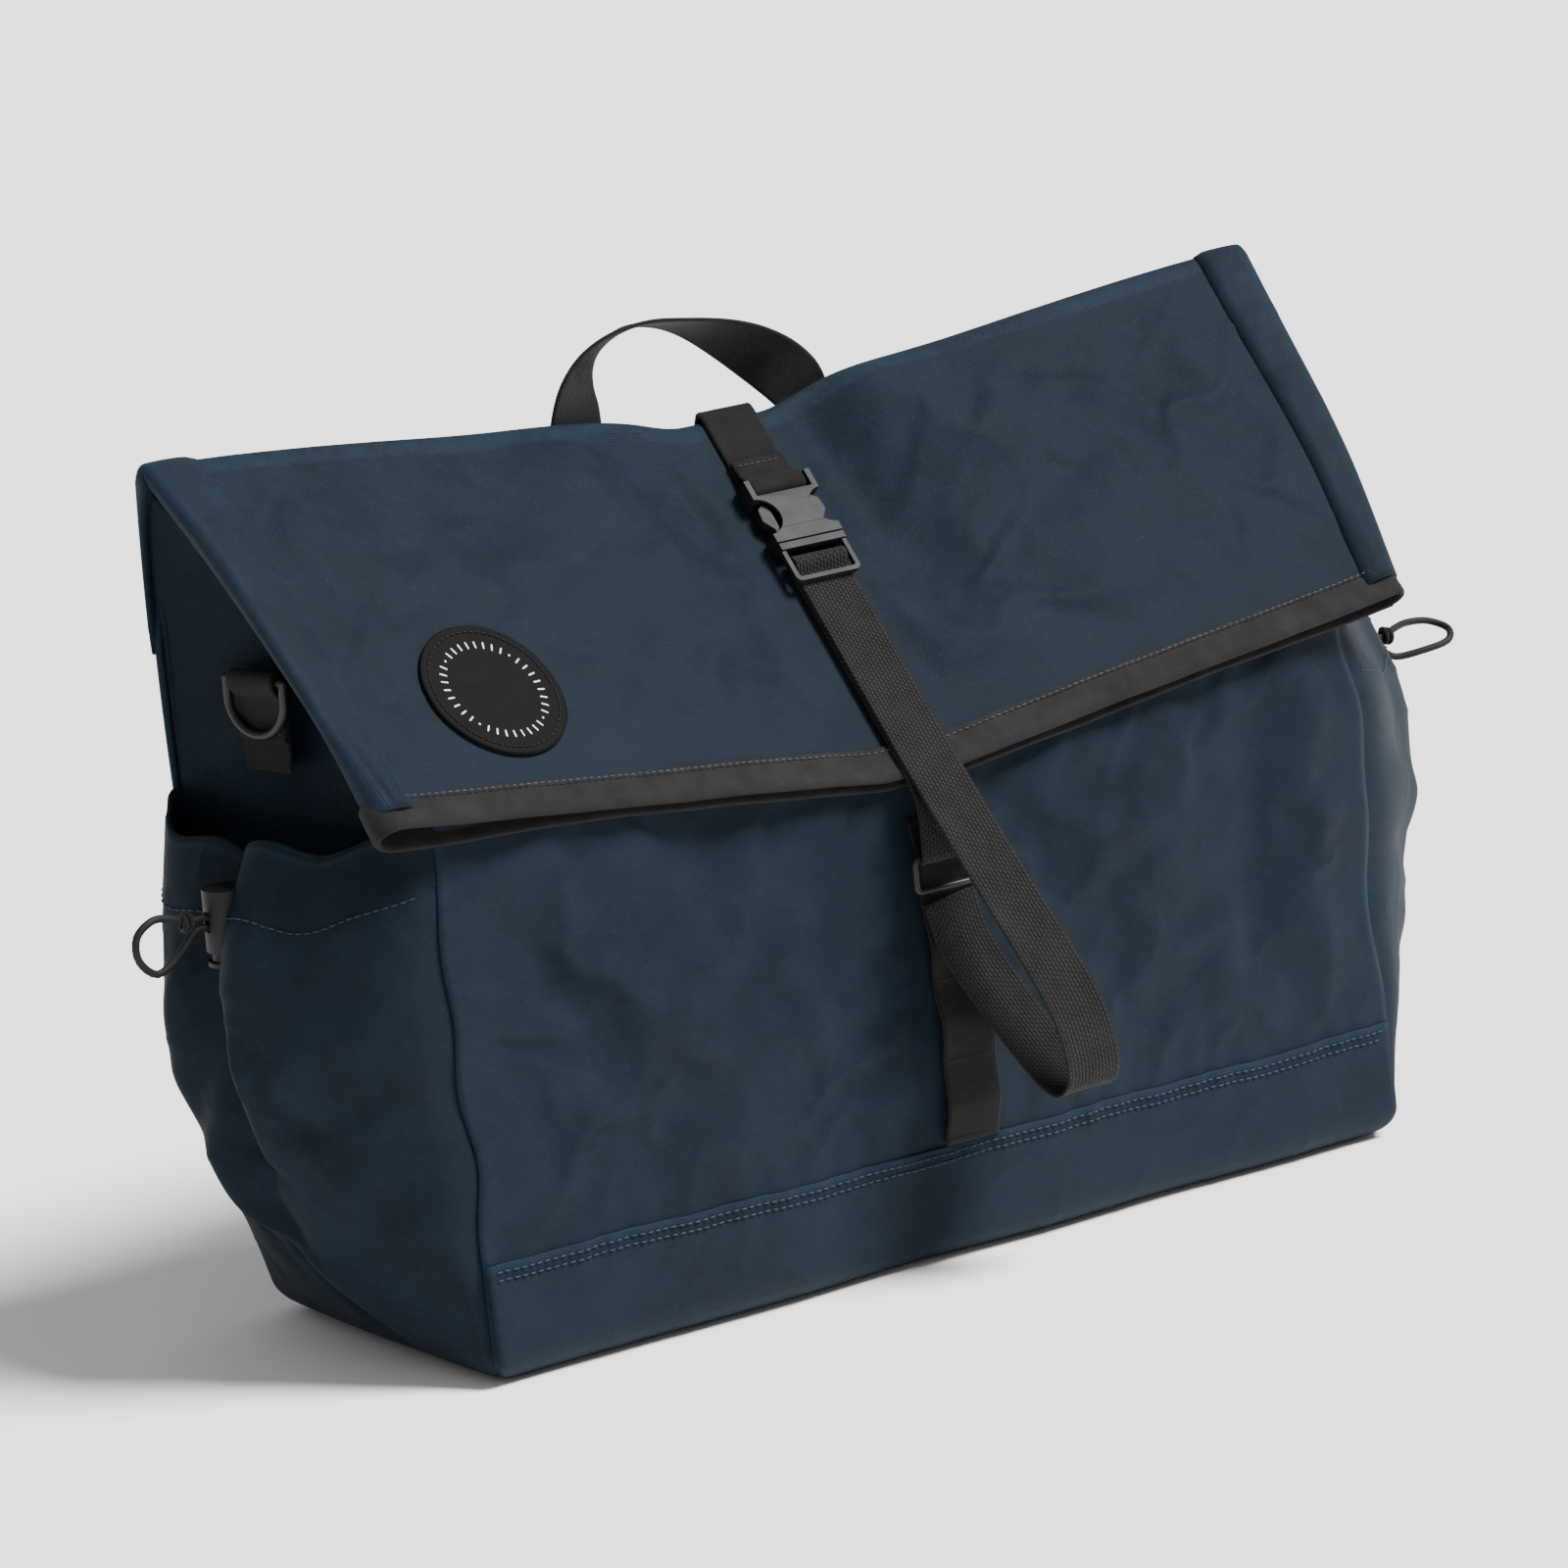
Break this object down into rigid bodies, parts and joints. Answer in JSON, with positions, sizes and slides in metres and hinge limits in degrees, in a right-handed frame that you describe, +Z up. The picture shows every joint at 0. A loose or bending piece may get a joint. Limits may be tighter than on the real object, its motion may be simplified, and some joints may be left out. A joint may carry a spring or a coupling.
{
  "type": "messenger bag",
  "caption": "Fold-top messenger bag of waxed cloth with a buckled centre strap, grab handle, side pockets with cord locks and shoulder-strap rings.",
  "frame": {"origin": "centre of the base's underside, where the bag stands", "axes": "+X to the wearer-facing right of the front, +Y from front to back, +Z up"},
  "size_m": [0.6309, 0.2081, 0.3617],
  "materials": {
    "waxed_cloth": "waxed cotton canvas, faint sheen",
    "lining_cloth": "dark coated cloth",
    "base_board": "matte sheet",
    "foam": "soft foam in cloth",
    "binding": "fine grosgrain tape",
    "webbing": "ribbed nylon webbing",
    "elastic_cord": "braided elastic",
    "moulded_plastic": "satin moulded acetal",
    "black_metal": "black enamel, satin",
    "spring_steel": "plain wire",
    "patch_leather": "smooth black leather"
  },
  "bodies": {
    "bag": {"base_panel": "waxed_cloth", "front_panel": "waxed_cloth", "back_panel": "waxed_cloth", "left_gusset": "waxed_cloth", "right_gusset": "waxed_cloth", "front_band": "waxed_cloth", "base_board": "base_board", "back_pad": "foam", "inner_sleeve": "lining_cloth", "front_lining": "lining_cloth", "left_pocket": "waxed_cloth", "right_pocket": "waxed_cloth", "left_pocket_hem": "waxed_cloth", "right_pocket_hem": "waxed_cloth", "left_hem_elastic": "elastic_cord", "right_hem_elastic": "elastic_cord", "left_cord": "elastic_cord", "right_cord": "elastic_cord", "left_cord_knot": "moulded_plastic", "right_cord_knot": "moulded_plastic", "left_ring_tab": "webbing", "right_ring_tab": "webbing", "daisy_tape": "webbing", "strap_anchor": "webbing", "handle_anchors": "webbing"},
    "flap": {"flap_outer": "waxed_cloth", "flap_inner": "lining_cloth", "flap_left_edge": "waxed_cloth", "flap_right_edge": "waxed_cloth", "outer_binding": "binding", "inner_binding": "binding", "left_binding": "binding", "right_binding": "binding", "round_patch": "patch_leather", "top_strap": "webbing", "buckle_female": "moulded_plastic"},
    "front_strap": {"buckle_male": "moulded_plastic", "left_prong": "moulded_plastic", "right_prong": "moulded_plastic", "adjuster_strap": "webbing", "strap_hook": "black_metal"},
    "handle": {"grab_handle": "webbing"},
    "left_ring": {"left_d_ring": "black_metal"},
    "right_ring": {"right_d_ring": "black_metal"},
    "left_lock": {"left_lock_barrel": "moulded_plastic", "left_lock_spring": "spring_steel"},
    "right_lock": {"right_lock_barrel": "moulded_plastic", "right_lock_spring": "spring_steel"},
    "left_plunger": {"left_lock_plunger": "moulded_plastic"},
    "right_plunger": {"right_lock_plunger": "moulded_plastic"}
  },
  "joints": [
    {"name": "flap_fold", "type": "hinge", "parent": "bag", "child": "flap", "pos_m": [0, 0.05765, 0.347], "axis": [-1, 0, 0], "range_deg": [0, 125]},
    {"name": "buckle_slide", "type": "slide", "parent": "flap", "child": "front_strap", "axis": [0, -0.7061, -0.7081], "range_m": [0, 0.03], "deforming": ["left_prong", "right_prong"]},
    {"name": "handle_swing", "type": "hinge", "parent": "bag", "child": "handle", "pos_m": [0, 0.0627, 0.314], "axis": [-1, 0, 0], "range_deg": [0, 140], "stiffness_Nm_per_rad": 0.02},
    {"name": "left_ring_swing", "type": "hinge", "parent": "bag", "child": "left_ring", "pos_m": [-0.2384, 0.022, 0.263], "axis": [-0.2756, 0.9613, 0], "range_deg": [0, 150]},
    {"name": "right_ring_swing", "type": "hinge", "parent": "bag", "child": "right_ring", "pos_m": [0.2384, 0.022, 0.263], "axis": [-0.2756, -0.9613, 0], "range_deg": [0, 150]},
    {"name": "left_lock_slide", "type": "slide", "parent": "bag", "child": "left_lock", "axis": [-1, 0, 0], "range_m": [0, 0.0045]},
    {"name": "right_lock_slide", "type": "slide", "parent": "bag", "child": "right_lock", "axis": [1, 0, 0], "range_m": [0, 0.0045]},
    {"name": "left_plunger_press", "type": "slide", "parent": "left_lock", "child": "left_plunger", "axis": [0, 0, 1], "range_m": [0, 0.0035], "stiffness_N_per_m": 1200, "springref_m": -0.001, "deforming": ["left_lock_spring"]},
    {"name": "right_plunger_press", "type": "slide", "parent": "right_lock", "child": "right_plunger", "axis": [0, 0, 1], "range_m": [0, 0.0035], "stiffness_N_per_m": 1200, "springref_m": -0.001, "deforming": ["right_lock_spring"]}
  ]
}
